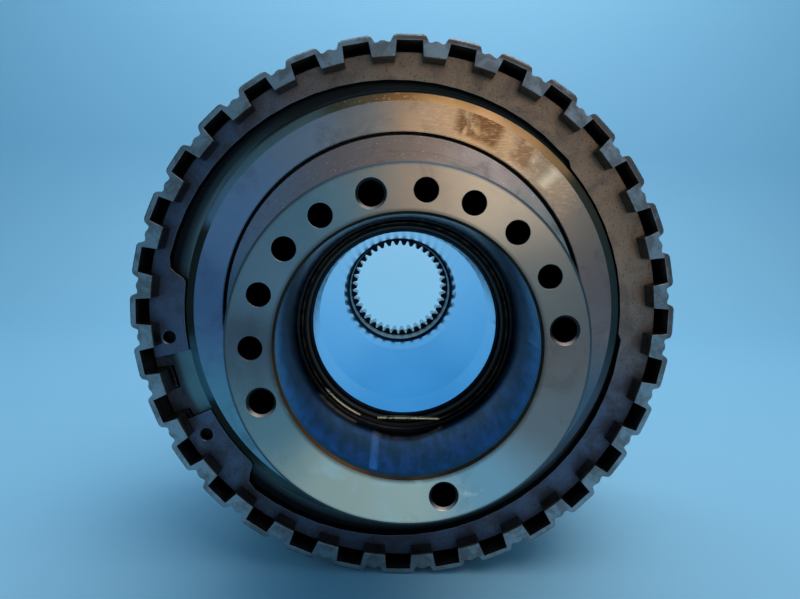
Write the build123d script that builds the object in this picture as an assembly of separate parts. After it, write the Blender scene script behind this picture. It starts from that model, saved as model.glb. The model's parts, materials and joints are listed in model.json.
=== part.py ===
from build123d import *
import math
import os

# Clutch drum and planetary gear set around a hollow hub.
# Millimetres. The axis of rotation is Y, the nose points towards -Y, and +Z is up. The origin is on
# the axis, at the shoulder where the nose bore ends. Angles are read from the nose side: 0 is +X and
# 90 is +Z.

# ---- driving dimensions -------------------------------------------------------------------------

# Hollow hub
NOSE_FACE_Y = -51.0
NOSE_R = 61.0
NOSE_BORE_R = 44.1
NOSE_BORE_CHAMFER = 0.9
SEAL_SEAT_R = 43.5
SEAL_SEAT_DEPTH = 5.8
SEAL_FRONT_Y = 2.1
SEAL_CASE = 1.3
LIP_R = 39.5
LIP_ROOT_R = 40.2
WIRE_R = 0.9
WIRE_ANGLES = (245.0, 291.0)
WIRE_TIP = (41.0, 255.0)
THROAT_Y = 6.4
THROAT_R = 38.7
TUBE_REAR_R = 35.2
TUBE_END_Y = 163.4
SPLINE_BORE_R = 34.0
SPLINE_FRONT_Y = 180.0
SPLINE_REAR_Y = 197.5
SPLINE_TEETH = 38
SPLINE_TIP_R = 30.2
SPLINE_ROOT_R = 33.1
SPLINE_SPACE = (0.40, 0.10)
SLEEVE_R = 60.0
SLEEVE_END_Y = 115.0
TAIL_R = 43.0
TAIL_JOURNAL_R = 42.5
TAIL_JOURNAL_Y = 171.5
TAIL_CIRCLIP_Y = 192.5
TAIL_CIRCLIP_R = 41.1
TAIL_CIRCLIP_WIDTH = 2.0
TAPER_Y = (30.0, 130.0)
EDGE = 1.0

# Holes in the nose face, as angles either side of the hub's own symmetry line
HOLE_LINE = 104.65
HOLE_RING_R = 52.0
THREAD_ANGLES = (0.0, 96.7, 180.0, -96.7)
THREAD_R = 4.25
THREAD_DEPTH = 26.0
THREAD_CHAMFER = 0.9
GALLERY_ANGLES = (19.7, 37.4, 56.3, 76.2)
GALLERY_R = 4.1
OIL_GALLERY_DEPTH = 148.0
LUBE_GALLERY_DEPTH = 112.0
PISTON_PORT_Y = 95.0
LUBE_PORT_Y = 60.0
PORT_R = 1.25

# Clutch drum: 32 lobes outside, 32 grooves inside them
DRUM_FRONT_Y = 27.0
DRUM_REAR_Y = 154.0
LOBES = 32
LOBE_R = 125.0
LOBE_SHOULDER_R = 124.0
LOBE_HALF = (4.00, 3.35, 2.70)
GROOVE_R = 122.2
VALLEY_R = 121.5
RIDGE_R = 122.2
RIDGE_HALF = (1.05, 0.35)
GROOVE_HALF = (3.12, 2.72)
TOOTH_TIP_R = 115.0
SNAP_GROOVE_R = 119.7
DRUM_EDGE = 1.0
TOOTH_EDGE = 0.8
TOOTH_SAG = 0.3
SLOT_FRONT_Y = 55.0
SLOT_REAR_Y = 76.0
SLOT_WIDTH = 3.4
RELEASE_SLOT = (5.2, 1.6)

# Parts with 32 outside teeth that sit in the drum's grooves
PLATE_TEETH_R = 121.7
PLATE_ROOT_R = 113.8
PLATE_TOOTH = (2.85, 2.50)

# Snap rings in the drum, all with the gap at the same angle
SNAP_R = 119.4
SNAP_GAP_ANGLE = 199.25
FRONT_SNAP_Y = 36.0
FRONT_SNAP_THICK = 5.0
SNAP_INNER_R = 108.7
SNAP_INNER_SWING = 4.2
SNAP_LUG_R = 103.0
SNAP_LUG_ANGLES = (8.5, 26.5)
SNAP_THICK_R = 103.2
SNAP_THICK_ANGLE = 156.0
PLIER_HOLE_ANGLES = (-12.4, 13.6)
PLIER_HOLE_RING_R = 111.3
PLIER_HOLE_R = 2.8
REAR_SNAP_THICK = 3.0
REAR_SNAP_INNER_R = 109.0
REAR_SNAP_GAP = 14.0

# Reaction plate
REACTION_FACE_Y = 31.6
REACTION_REAR_Y = 51.0
REACTION_BORE_R = 83.8
REACTION_EDGE_R = 97.2
REACTION_BEVEL_R = 101.2
REACTION_BEVEL_Y = 33.5
REACTION_STEP_R = 102.3

# Clutch pack: friction disc, steel plate, and so on, towards the piston
DISCS = 4
DISC_THICK = 3.0
CORE_THICK = 1.6
STEEL_THICK = 3.0
PACK_GAP = 0.3
LINING_R = (87.0, 112.0)
LINING_GROOVES = 16
LINING_GROOVE_DEPTH = 0.35
LINING_GROOVE_WIDTH = 2.0
STEEL_BORE_R = 84.6

# Clutch hub
FLANGE_R = 82.4
FLANGE_REAR_Y = 41.0
FLANGE_SETBACK = 0.2
CUP_INNER_R = 74.6
HUB_SPLINE_TEETH = 40
HUB_SPLINE_TIP_R = 80.8
HUB_SPLINE_ROOT_R = 78.3
HUB_TOOTH = (0.29, 0.20)
DISC_SPACE = (0.35, 0.27)
CUP_OIL_WAYS = 8
CUP_OIL_WAY_R = 1.5
CUP_OIL_WAY_Y = 54.0
HUB_WASHER_R = (60.6, 65.6)

# Piston and its housing
HOUSING_WEB_Y = (97.0, 107.0)
HOUSING_RIM_Y = 86.0
HOUSING_BORE_R = 60.3
HOUSING_TUBE_R = 66.0
HOUSING_TUBE_Y = (44.0, 111.0)
CYLINDER_R = 111.0
BUSHING_R = (60.05, 62.2)
BUSHINGS_Y = ((44.5, 58.0), (102.5, 110.5))
SEAL_RING_Y = (64.0, 90.0, 98.0)
SEAL_RING_WIDTH = 2.8
SEAL_RING_DEPTH = 3.0
PISTON_CLEARANCE = 0.3
PISTON_FRONT_Y = 86.0
PUSH_RING_R = (90.0, 93.0, 108.0)
PISTON_CHAMFER = (74.0, 72.0, 2.0)
OUTER_SEAL_Y = (90.2, 93.8)
OUTER_SEAL_DEPTH = 3.6
INNER_SEAL_Y = (89.2, 92.4)
INNER_SEAL_DEPTH = 3.3
SPRING_R = (66.8, 73.6)
SPRING_Y = (73.1, 85.9)
SPRING_THICK = 0.85
SPRING_RISE = 0.72
SPRINGS = 8
RETAINER_R = (66.1, 74.0)
RETAINER_Y = (71.2, 73.0)
RETAINER_SNAP_R = (64.6, 69.0)
RETAINER_SNAP_Y = (69.0, 71.0)
RETAINER_SNAP_GAP = 6.0

# Planetary gears
MODULE = 2.5
PRESSURE_ANGLE = 20.0
BACKLASH = 0.20
SUN_TEETH = 40
PLANET_TEETH = 20
RING_TEETH = 80
PLANETS = 5
PLANET_PHASE = 90.0
GEAR_Y = (124.0, 146.0)
PLANET_Y = (125.0, 145.0)
PIN_R = 10.0
PLANET_BORE_R = 14.0
ROLLER_R = 1.95
ROLLERS = 17
ROLLER_END_PLAY = 0.8
PIN_OIL_WAY_R = 2.0
PIN_CROSS_WAY_R = 1.0
PIN_CROSS_WAY_Y = 135.5
THRUST_WASHER_R = 19.0

# Planet carrier
CARRIER_R = 94.0
FRONT_PLATE_Y = (115.5, 123.5)
REAR_PLATE_Y = (146.7, 155.0)
FRONT_PLATE_BORE_R = 54.0
CARRIER_HUB_R = 60.0
CARRIER_HUB_END_Y = 171.0
CARRIER_BUSHING_R = (43.05, 45.5)
POST_R = 12.5
BOLT_R = 5.0
SPOT_FACE_R = 10.0
SPOT_FACE_DEPTH = 1.2
BOLT_HEAD_CORNER_R = 9.24
BOLT_HEAD_HEIGHT = 6.4
OUTPUT_SPLINE_TEETH = 46
OUTPUT_SPLINE_ROOT_R = 57.6
OUTPUT_TOOTH = (0.30, 0.18)

CENTRE_DISTANCE = MODULE * (SUN_TEETH + PLANET_TEETH) / 2


# ---- shape helpers ------------------------------------------------------------------------------


def polar(radius, angle, y=0.0):
    """A point at this radius and angle about the Y axis."""
    a = math.radians(angle)
    return (radius * math.cos(a), y, radius * math.sin(a))


def turned(*profile):
    """A solid turned about Y from a closed profile of (radius, y) points."""
    return revolve(make_face(Polyline(*profile, close=True)), axis=Axis.Y)


def ring(inner, outer, y0, y1):
    """A plain ring between two radii."""
    return turned((inner, y0), (outer, y0), (outer, y1), (inner, y1))


def disc(radius, y0, y1):
    """A plain disc on the axis, used as a cutting tool."""
    return turned((0, y0), (radius, y0), (radius, y1), (0, y1))


def outline(count, phase, pitch_points, y=0.0):
    """A closed wire that repeats (angle, radius) points once for each tooth."""
    pitch = 360.0 / count
    points = [
        polar(radius, phase + k * pitch + angle, y)
        for k in range(count)
        for angle, radius in pitch_points
    ]
    return Wire.make_polygon([Vector(*p) for p in points], close=True)


def prism(wire, length):
    """A straight solid along +Y from a closed wire."""
    return extrude(Face(wire), amount=length, dir=(0, 1, 0))


def around(shape, angles):
    """Copies of a shape turned about the Y axis, as one group. An angle of 90 carries +X to +Z."""
    return [shape.rotate(Axis.Y, -angle) for angle in angles]


def bar(radius, y0, y1, at_radius, angle):
    """A round bar parallel to the axis."""
    x, _, z = polar(at_radius, angle)
    return turned((0, y0), (radius, y0), (radius, y1), (0, y1)).translate((x, 0, z))


def radial_bar(radius, r0, r1, y, angle):
    """A round bar that points straight out from the axis."""
    base = Plane(origin=polar(r0, angle, y), z_dir=polar(1.0, angle))
    return extrude(base * Circle(radius), amount=r1 - r0)


def evenly(count, phase=0.0):
    """Angles of `count` equal steps."""
    return [phase + 360.0 * k / count for k in range(count)]


# ---- tooth forms --------------------------------------------------------------------------------


def trapezoid(half_root, half_tip, root_r, tip_r):
    """One straight-sided tooth as (angle, radius) points."""
    return (
        (-half_root, root_r),
        (-half_tip, tip_r),
        (half_tip, tip_r),
        (half_root, root_r),
    )


def groove_tooth_outline(y):
    """The outside of a part with 32 teeth that fill the drum's grooves."""
    half_root, half_tip = PLATE_TOOTH
    return outline(LOBES, 0.0, trapezoid(half_root, half_tip, PLATE_ROOT_R, PLATE_TEETH_R), y)


def involute(angle):
    return math.tan(angle) - angle


def flank_angle(teeth, radius, play):
    """Half the angle of an involute tooth, or space, at a radius."""
    pitch_r = MODULE * teeth / 2
    base_r = pitch_r * math.cos(math.radians(PRESSURE_ANGLE))
    there = math.acos(min(1.0, base_r / radius))
    half = (math.pi * MODULE / 2 + play) / (2 * pitch_r)
    return math.degrees(half + involute(math.radians(PRESSURE_ANGLE)) - involute(there))


def gear_points(teeth, inside):
    """(angle, radius) points of an external tooth, or of an internal gear's tooth space."""
    pitch_r = MODULE * teeth / 2
    base_r = pitch_r * math.cos(math.radians(PRESSURE_ANGLE))
    if inside:
        low, high = pitch_r - MODULE, pitch_r + 1.25 * MODULE
        play = BACKLASH / 2
    else:
        low, high = pitch_r - 1.25 * MODULE, pitch_r + MODULE
        play = -BACKLASH / 2
    start = max(low, base_r + 0.05)
    radii = [start + (high - start) * t for t in (0.0, 0.36, 0.7, 1.0)]
    rising = [(-flank_angle(teeth, r, play), r) for r in radii]
    if start > low:
        rising.insert(0, (rising[0][0], low))
    falling = [(-angle, r) for angle, r in reversed(rising)]
    return tuple(rising + falling)


# ---- hub ----------------------------------------------------------------------------------------


def hub_shaft():
    """Nose, sleeve and tail in one turned piece, with the internal spline at the rear."""
    body = turned(
        (NOSE_BORE_R + NOSE_BORE_CHAMFER, NOSE_FACE_Y),
        (NOSE_R - EDGE, NOSE_FACE_Y),
        (NOSE_R, NOSE_FACE_Y + EDGE),
        (NOSE_R, REACTION_FACE_Y),
        (SLEEVE_R, REACTION_FACE_Y),
        (SLEEVE_R, SLEEVE_END_Y),
        (TAIL_R, SLEEVE_END_Y),
        (TAIL_R, TAIL_JOURNAL_Y),
        (TAIL_JOURNAL_R, TAIL_JOURNAL_Y),
        (TAIL_JOURNAL_R, SPLINE_REAR_Y - EDGE),
        (TAIL_JOURNAL_R - EDGE, SPLINE_REAR_Y),
        (SPLINE_TIP_R, SPLINE_REAR_Y),
        (SPLINE_TIP_R, SPLINE_FRONT_Y),
        (SPLINE_BORE_R, SPLINE_FRONT_Y),
        (SPLINE_BORE_R, TUBE_END_Y),
        (TUBE_REAR_R, TUBE_END_Y),
        (TUBE_REAR_R, TAPER_Y[1]),
        (THROAT_R, TAPER_Y[0]),
        (THROAT_R, THROAT_Y),
        (THROAT_R + 0.6, SEAL_SEAT_DEPTH),
        (SEAL_SEAT_R, SEAL_SEAT_DEPTH),
        (SEAL_SEAT_R, 0.0),
        (NOSE_BORE_R, 0.0),
        (NOSE_BORE_R, NOSE_FACE_Y + NOSE_BORE_CHAMFER),
    )
    pitch = 360.0 / SPLINE_TEETH
    half_tip, half_root = (pitch * share for share in SPLINE_SPACE)
    space = trapezoid(half_tip, half_root, SPLINE_TIP_R - 0.6, SPLINE_ROOT_R)
    spaces = outline(SPLINE_TEETH, pitch / 2, space, SPLINE_FRONT_Y)
    cuts = [prism(spaces, SPLINE_REAR_Y - SPLINE_FRONT_Y)]
    for y in SEAL_RING_Y:
        groove = ring(SLEEVE_R - SEAL_RING_DEPTH, SLEEVE_R + 1, y - 0.1, y + SEAL_RING_WIDTH + 0.1)
        cuts.append(groove)
    # Groove near the end of the tail, for the circlip of whatever sits on the journal
    circlip_end = TAIL_CIRCLIP_Y + TAIL_CIRCLIP_WIDTH
    cuts.append(ring(TAIL_CIRCLIP_R, TAIL_R, TAIL_CIRCLIP_Y, circlip_end))
    return body - cuts - hub_holes()


def hub_holes():
    """Four tapped holes with countersinks, eight oil galleries and their cross drillings."""
    tools = []
    for angle in THREAD_ANGLES:
        x, _, z = polar(HOLE_RING_R, HOLE_LINE + angle)
        wide = THREAD_R + THREAD_CHAMFER
        tools.append(
            turned(
                (0, NOSE_FACE_Y - 1),
                (wide + 1, NOSE_FACE_Y - 1),
                (THREAD_R, NOSE_FACE_Y + THREAD_CHAMFER),
                (THREAD_R, NOSE_FACE_Y + THREAD_DEPTH),
                (0, NOSE_FACE_Y + THREAD_DEPTH + 2),
            ).translate((x, 0, z))
        )
    for side in (-1, 1):
        for number, offset in enumerate(GALLERY_ANGLES):
            angle = HOLE_LINE + side * offset
            feeds_piston = number in (1, 3)
            depth = OIL_GALLERY_DEPTH if feeds_piston else LUBE_GALLERY_DEPTH
            end = NOSE_FACE_Y + depth
            tools.append(bar(GALLERY_R, NOSE_FACE_Y - 1, end, HOLE_RING_R, angle))
            port_y = PISTON_PORT_Y if feeds_piston else LUBE_PORT_Y
            tools.append(radial_bar(PORT_R, HOLE_RING_R, SLEEVE_R + 1, port_y, angle))
    return tools


def nose_seal():
    """A lip seal at the back of its seat: a case at the rim, and a lip inside it."""
    front, rear = SEAL_FRONT_Y, SEAL_SEAT_DEPTH
    case_r = SEAL_SEAT_R - SEAL_CASE
    return turned(
        (SEAL_SEAT_R, front),
        (SEAL_SEAT_R, rear),
        (LIP_ROOT_R, rear),
        (LIP_ROOT_R, front + 1.9),
        (LIP_R, front + 1.5),
        (LIP_R + 0.5, front + 0.6),
        (LIP_R + 1.5, front + 0.3),
        (LIP_R + 2.0, front + 1.4),
        (case_r - 0.4, front + 1.4),
        (case_r, front),
    )


def seal_wire_ring():
    """An open ring of round wire in front of the seal; one end is sprung inwards in a straight run."""
    ring_r = SEAL_SEAT_R - WIRE_R - 0.1
    y = SEAL_FRONT_Y / 2
    start, bend = WIRE_ANGLES
    outwards, forwards = polar(1.0, start), polar(1.0, start + 90)
    section = Plane(origin=polar(ring_r, start, y), x_dir=outwards, z_dir=forwards) * Circle(WIRE_R)
    arc = revolve(section, axis=Axis.Y, revolution_arc=360.0 + start - bend)
    corner = Vector(*polar(ring_r, bend, y))
    run = Vector(*polar(*WIRE_TIP, y)) - corner
    section = Plane(origin=corner, z_dir=run.normalized()) * Circle(WIRE_R)
    straight = extrude(section, amount=run.length)
    return arc + straight + Sphere(WIRE_R).translate(corner)


def clutch_hub():
    """A flange and a cup with 40 outside teeth that carry the friction discs."""
    face = REACTION_FACE_Y + FLANGE_SETBACK
    cup_end = pack_end_y() - 0.4
    body = turned(
        (SLEEVE_R, face),
        (FLANGE_R - 0.4, face),
        (FLANGE_R, face + 0.4),
        (FLANGE_R, FLANGE_REAR_Y + 2),
        (HUB_SPLINE_TIP_R, FLANGE_REAR_Y + 3),
        (HUB_SPLINE_TIP_R, cup_end),
        (CUP_INNER_R, cup_end),
        (CUP_INNER_R, FLANGE_REAR_Y),
        (SLEEVE_R, FLANGE_REAR_Y),
    )
    half_root, half_tip = hub_spline_angles(HUB_TOOTH)
    teeth = trapezoid(half_root, half_tip, HUB_SPLINE_ROOT_R, HUB_SPLINE_TIP_R + 0.5)
    start = FLANGE_REAR_Y + 4
    blank = ring(HUB_SPLINE_ROOT_R - 2, HUB_SPLINE_TIP_R + 2, start, pack_end_y())
    spaces = blank - prism(outline(HUB_SPLINE_TEETH, 0.0, teeth, start - 1), 60.0)
    oil_ways = [
        radial_bar(CUP_OIL_WAY_R, CUP_INNER_R - 1, FLANGE_R + 1, CUP_OIL_WAY_Y, angle)
        for angle in evenly(CUP_OIL_WAYS)
    ]
    return body - spaces - oil_ways


def hub_spline_angles(shares):
    """Half-angles of a tooth or space on the clutch hub, from shares of the pitch."""
    return [share * 360.0 / HUB_SPLINE_TEETH for share in shares]


def hub_thrust_washer():
    return ring(*HUB_WASHER_R, FLANGE_REAR_Y + 0.05, HOUSING_TUBE_Y[0] - 0.1)


def sealing_rings():
    inner, outer = SLEEVE_R - SEAL_RING_DEPTH + 0.4, HOUSING_BORE_R - 0.08
    return [ring(inner, outer, y, y + SEAL_RING_WIDTH) for y in SEAL_RING_Y]


def sun_gear():
    """The sun gear, shrunk onto the tail against the sleeve."""
    phase = PLANET_PHASE + 180.0 / SUN_TEETH
    teeth = outline(SUN_TEETH, phase, gear_points(SUN_TEETH, False), GEAR_Y[0])
    root_r = MODULE * SUN_TEETH / 2 - 1.25 * MODULE
    boss = disc(root_r - 0.4, SLEEVE_END_Y, GEAR_Y[0])
    gear = prism(teeth, GEAR_Y[1] - GEAR_Y[0]) + boss
    return gear - disc(TAIL_R, SLEEVE_END_Y - 1, GEAR_Y[1] + 1)


# ---- clutch pack --------------------------------------------------------------------------------


def disc_y(number):
    """Front of friction disc `number`, counted from 0 at the reaction plate."""
    return REACTION_REAR_Y + PACK_GAP + number * (DISC_THICK + STEEL_THICK + 2 * PACK_GAP)


def steel_y(number):
    return disc_y(number) + DISC_THICK + PACK_GAP


def pack_end_y():
    return steel_y(DISCS - 1) + STEEL_THICK


def friction_disc(number):
    """A steel core with 40 inside teeth."""
    y = disc_y(number) + (DISC_THICK - CORE_THICK) / 2
    half_tip, half_root = hub_spline_angles(DISC_SPACE)
    spaces = trapezoid(half_tip, half_root, HUB_SPLINE_ROOT_R + 0.4, HUB_SPLINE_TIP_R + 0.5)
    inner = outline(HUB_SPLINE_TEETH, 0.0, spaces, y)
    outer = Wire(Circle(LINING_R[1]).edges()[0].rotate(Axis.X, 90).translate((0, y, 0)))
    return extrude(Face(outer, [inner]), amount=CORE_THICK, dir=(0, 1, 0))


def friction_lining(number):
    """Two facings bonded to a core, each with oil grooves."""
    y = disc_y(number)
    thick = (DISC_THICK - CORE_THICK) / 2
    front = ring(*LINING_R, y, y + thick)
    rear = ring(*LINING_R, y + DISC_THICK - thick, y + DISC_THICK)
    length = LINING_R[1] - LINING_R[0] + 4
    mid = (LINING_R[0] + LINING_R[1]) / 2
    slit = Box(length, LINING_GROOVE_DEPTH, LINING_GROOVE_WIDTH)
    into = LINING_GROOVE_DEPTH / 2
    cuts = [slit.translate((mid, y + into, 0)), slit.translate((mid, y + DISC_THICK - into, 0))]
    tools = [copy for cut in cuts for copy in around(cut, evenly(LINING_GROOVES))]
    return [front - tools, rear - tools]


def steel_plate(number):
    y = steel_y(number)
    bore = disc(STEEL_BORE_R, y - 1, y + STEEL_THICK + 1)
    return prism(groove_tooth_outline(y), STEEL_THICK) - bore


def reaction_plate():
    """The thick end plate: a flat face inside a bevel, a step, and 32 teeth behind the snap ring."""
    tooth_front = FRONT_SNAP_Y + FRONT_SNAP_THICK + 0.2
    body = turned(
        (REACTION_BORE_R, REACTION_FACE_Y + 0.4),
        (REACTION_BORE_R + 0.4, REACTION_FACE_Y),
        (REACTION_EDGE_R, REACTION_FACE_Y),
        (REACTION_BEVEL_R, REACTION_BEVEL_Y),
        (REACTION_STEP_R, tooth_front),
        (PLATE_TEETH_R + 1, tooth_front),
        (PLATE_TEETH_R + 1, REACTION_REAR_Y),
        (REACTION_BORE_R, REACTION_REAR_Y),
    )
    teeth = prism(groove_tooth_outline(REACTION_FACE_Y - 1), 25.0)
    return body & teeth


# ---- drum ---------------------------------------------------------------------------------------


def clutch_drum():
    """A lobed tube: each outside lobe has a straight groove behind it."""
    half_pitch = 180.0 / LOBES
    foot, shoulder, top = LOBE_HALF
    ridge_foot, ridge_top = RIDGE_HALF
    outer_points = (
        (-foot, VALLEY_R),
        (-shoulder, LOBE_SHOULDER_R),
        (-top, LOBE_R),
        (top, LOBE_R),
        (shoulder, LOBE_SHOULDER_R),
        (foot, VALLEY_R),
        (half_pitch - ridge_foot, VALLEY_R),
        (half_pitch - ridge_top, RIDGE_R),
        (half_pitch + ridge_top, RIDGE_R),
        (half_pitch + ridge_foot, VALLEY_R),
    )
    inner_points = trapezoid(*GROOVE_HALF, TOOTH_TIP_R, GROOVE_R)
    outer = outline(LOBES, 0.0, outer_points, DRUM_FRONT_Y)
    inner = outline(LOBES, 0.0, inner_points, DRUM_FRONT_Y)
    body = extrude(Face(outer, [inner]), amount=DRUM_REAR_Y - DRUM_FRONT_Y, dir=(0, 1, 0))
    # Broken edges on the lobes and the tooth tips, at both ends
    body = body & turned(
        (TOOTH_TIP_R - TOOTH_SAG, DRUM_FRONT_Y + TOOTH_EDGE),
        (TOOTH_TIP_R - TOOTH_SAG + TOOTH_EDGE, DRUM_FRONT_Y),
        (LOBE_R - DRUM_EDGE, DRUM_FRONT_Y),
        (LOBE_R, DRUM_FRONT_Y + DRUM_EDGE),
        (LOBE_R, DRUM_REAR_Y - DRUM_EDGE),
        (LOBE_R - DRUM_EDGE, DRUM_REAR_Y),
        (TOOTH_TIP_R - TOOTH_SAG + TOOTH_EDGE, DRUM_REAR_Y),
        (TOOTH_TIP_R - TOOTH_SAG, DRUM_REAR_Y - TOOTH_EDGE),
    )
    grooves = [
        ring(TOOTH_TIP_R - 2, SNAP_GROOVE_R, y - 0.1, y + thick + 0.1)
        for y, thick in snap_places()
    ]
    slot_length = SLOT_REAR_Y - SLOT_FRONT_Y
    middle = (SLOT_FRONT_Y + SLOT_REAR_Y) / 2
    flat = Plane(origin=(TOOTH_TIP_R - 2, middle, 0), x_dir=(0, 1, 0), z_dir=(1, 0, 0))
    slot = extrude(flat * SlotOverall(slot_length, SLOT_WIDTH), amount=14.0)
    # Narrow windows in the floor of the front groove, behind each tooth
    window_y = FRONT_SNAP_Y + FRONT_SNAP_THICK / 2
    window = Box(10.0, RELEASE_SLOT[1], RELEASE_SLOT[0]).translate((SNAP_GROOVE_R + 2, window_y, 0))
    behind_teeth = evenly(LOBES, half_pitch)
    return body - grooves - around(slot, behind_teeth) - around(window, behind_teeth)


def snap_places():
    """Front face and thickness of each snap ring in the drum."""
    return (
        (FRONT_SNAP_Y, FRONT_SNAP_THICK),
        (HOUSING_WEB_Y[1] + 0.2, REAR_SNAP_THICK),
        (GEAR_Y[0] - 0.2 - REAR_SNAP_THICK, REAR_SNAP_THICK),
        (GEAR_Y[1] + 0.2, REAR_SNAP_THICK),
    )


def snap_inner_r(from_gap):
    """The front ring's inner radius, at an angle from the middle of its gap."""
    return SNAP_INNER_R + SNAP_INNER_SWING * math.cos(math.radians(from_gap))


def front_snap_ring():
    """An internal circlip with two drilled lugs, widest opposite its gap."""
    start, lug_end = SNAP_LUG_ANGLES
    below = FRONT_SNAP_Y - 1
    half = [(start + k * (lug_end - start) / 4, SNAP_LUG_R) for k in range(5)]
    half += [(lug_end + 0.9, SNAP_LUG_R + 1.2)]
    half += [(lug_end + 1.9, SNAP_LUG_R + 5.0), (lug_end + 2.9, SNAP_LUG_R + 7.9)]
    half += [(angle, snap_inner_r(angle)) for angle in range(32, 151, 6)]
    half += [(SNAP_THICK_ANGLE - 1.0, snap_inner_r(SNAP_THICK_ANGLE))]
    half += [(SNAP_THICK_ANGLE + 0.8, SNAP_THICK_R)]
    half += [(angle, SNAP_THICK_R) for angle in range(162, 181, 6)]
    inner = half + [(360.0 - angle, r) for angle, r in reversed(half[:-1])]
    # The cutter is everything inside the inner edge, and a wedge through the gap
    wedge = [(-start * 0.9, SNAP_R + 20), (start * 0.9, SNAP_R + 20)]
    points = [polar(r, SNAP_GAP_ANGLE + angle, below) for angle, r in wedge + inner]
    cutter = prism(Wire.make_polygon([Vector(*p) for p in points], close=True), FRONT_SNAP_THICK + 2)
    hole = turned(
        (0, below),
        (PLIER_HOLE_R + 1.5, below),
        (PLIER_HOLE_R, FRONT_SNAP_Y + 0.5),
        (PLIER_HOLE_R, FRONT_SNAP_Y + FRONT_SNAP_THICK + 1),
        (0, FRONT_SNAP_Y + FRONT_SNAP_THICK + 1),
    ).translate((PLIER_HOLE_RING_R, 0, 0))
    holes = around(hole, [SNAP_GAP_ANGLE + angle for angle in PLIER_HOLE_ANGLES])
    blank = ring(SNAP_LUG_R - 2, SNAP_R, FRONT_SNAP_Y, FRONT_SNAP_Y + FRONT_SNAP_THICK)
    return blank - cutter - holes


def plain_snap_ring(place):
    """A square-section ring with a gap and rounded-off ends."""
    y, thick = place
    blank = ring(REAR_SNAP_INNER_R, SNAP_R, y, y + thick)
    gap = Box(30.0, thick + 2, REAR_SNAP_GAP).translate((SNAP_R, y + thick / 2, 0))
    return blank - around(gap, [SNAP_GAP_ANGLE])


def ring_gear():
    """Internal gear with the same outside teeth as the clutch plates."""
    length = GEAR_Y[1] - GEAR_Y[0]
    outside = groove_tooth_outline(GEAR_Y[0])
    inside = outline(RING_TEETH, PLANET_PHASE, gear_points(RING_TEETH, True), GEAR_Y[0])
    return extrude(Face(outside, [inside]), amount=length, dir=(0, 1, 0))


# ---- piston and housing -------------------------------------------------------------------------


def piston_housing():
    """The web across the drum: a cylinder for the piston, and a tube that runs on the sleeve."""
    front, rear = HOUSING_WEB_Y
    tube_front, tube_rear = HOUSING_TUBE_Y
    rim_r = PLATE_ROOT_R - 0.3
    body = turned(
        (HOUSING_BORE_R, tube_front),
        (HOUSING_TUBE_R, tube_front),
        (HOUSING_TUBE_R, front),
        (CYLINDER_R, front),
        (CYLINDER_R, HOUSING_RIM_Y),
        (rim_r, HOUSING_RIM_Y),
        (rim_r, front),
        (PLATE_TEETH_R + 1, front),
        (PLATE_TEETH_R + 1, rear),
        (HOUSING_TUBE_R + 8, rear),
        (HOUSING_TUBE_R, rear + 3),
        (HOUSING_TUBE_R, tube_rear),
        (HOUSING_BORE_R, tube_rear),
    )
    body = body & prism(groove_tooth_outline(tube_front - 1), 80.0)
    cuts = [disc(BUSHING_R[1], tube_front - 1, BUSHINGS_Y[0][1] + 0.2)]
    cuts.append(disc(BUSHING_R[1], BUSHINGS_Y[1][0] - 0.2, tube_rear + 1))
    snap_front, snap_rear = RETAINER_SNAP_Y
    groove_r = RETAINER_SNAP_R[0] - 0.1
    cuts.append(ring(groove_r, HOUSING_TUBE_R + 1, snap_front - 0.1, snap_rear + 0.1))
    for y in (PISTON_PORT_Y, LUBE_PORT_Y):
        for angle in evenly(4, 45.0):
            cuts.append(radial_bar(PORT_R, HOUSING_BORE_R - 1, HOUSING_TUBE_R + 1, y, angle))
    return body - cuts


def housing_bushings():
    return [ring(*BUSHING_R, y0, y1) for y0, y1 in BUSHINGS_Y]


def piston():
    """An annular piston with a raised ring that pushes the last steel plate."""
    inner, outer = HOUSING_TUBE_R + PISTON_CLEARANCE, CYLINDER_R - PISTON_CLEARANCE
    back = HOUSING_WEB_Y[0] - PISTON_CLEARANCE
    push = pack_end_y() + PACK_GAP
    ramp_r, push_inner_r, push_outer_r = PUSH_RING_R
    chamfer_outer_r, chamfer_inner_r, chamfer = PISTON_CHAMFER
    outer_front, outer_rear = OUTER_SEAL_Y[0] - 0.2, OUTER_SEAL_Y[1] + 0.2
    inner_front, inner_rear = INNER_SEAL_Y[0] - 0.2, INNER_SEAL_Y[1] + 0.2
    return turned(
        (inner, PISTON_FRONT_Y),
        (ramp_r, PISTON_FRONT_Y),
        (push_inner_r, push),
        (push_outer_r, push),
        (push_outer_r, PISTON_FRONT_Y - 2),
        (outer, PISTON_FRONT_Y),
        (outer, outer_front),
        (outer - OUTER_SEAL_DEPTH, outer_front),
        (outer - OUTER_SEAL_DEPTH, outer_rear),
        (outer, outer_rear),
        (outer, back),
        (chamfer_outer_r, back),
        (chamfer_inner_r, back - chamfer),
        (inner + 3.4, back - chamfer),
        (inner + 3.4, inner_rear + 0.8),
        (inner, inner_rear + 0.8),
        (inner, inner_rear),
        (inner + INNER_SEAL_DEPTH, inner_rear),
        (inner + INNER_SEAL_DEPTH, inner_front),
        (inner, inner_front),
    )


def piston_outer_seal():
    groove_r = CYLINDER_R - PISTON_CLEARANCE - OUTER_SEAL_DEPTH
    return ring(groove_r + 0.1, CYLINDER_R - 0.12, *OUTER_SEAL_Y)


def piston_inner_seal():
    groove_r = HOUSING_TUBE_R + PISTON_CLEARANCE + INNER_SEAL_DEPTH
    return ring(HOUSING_TUBE_R + 0.12, groove_r - 0.1, *INNER_SEAL_Y)


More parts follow.
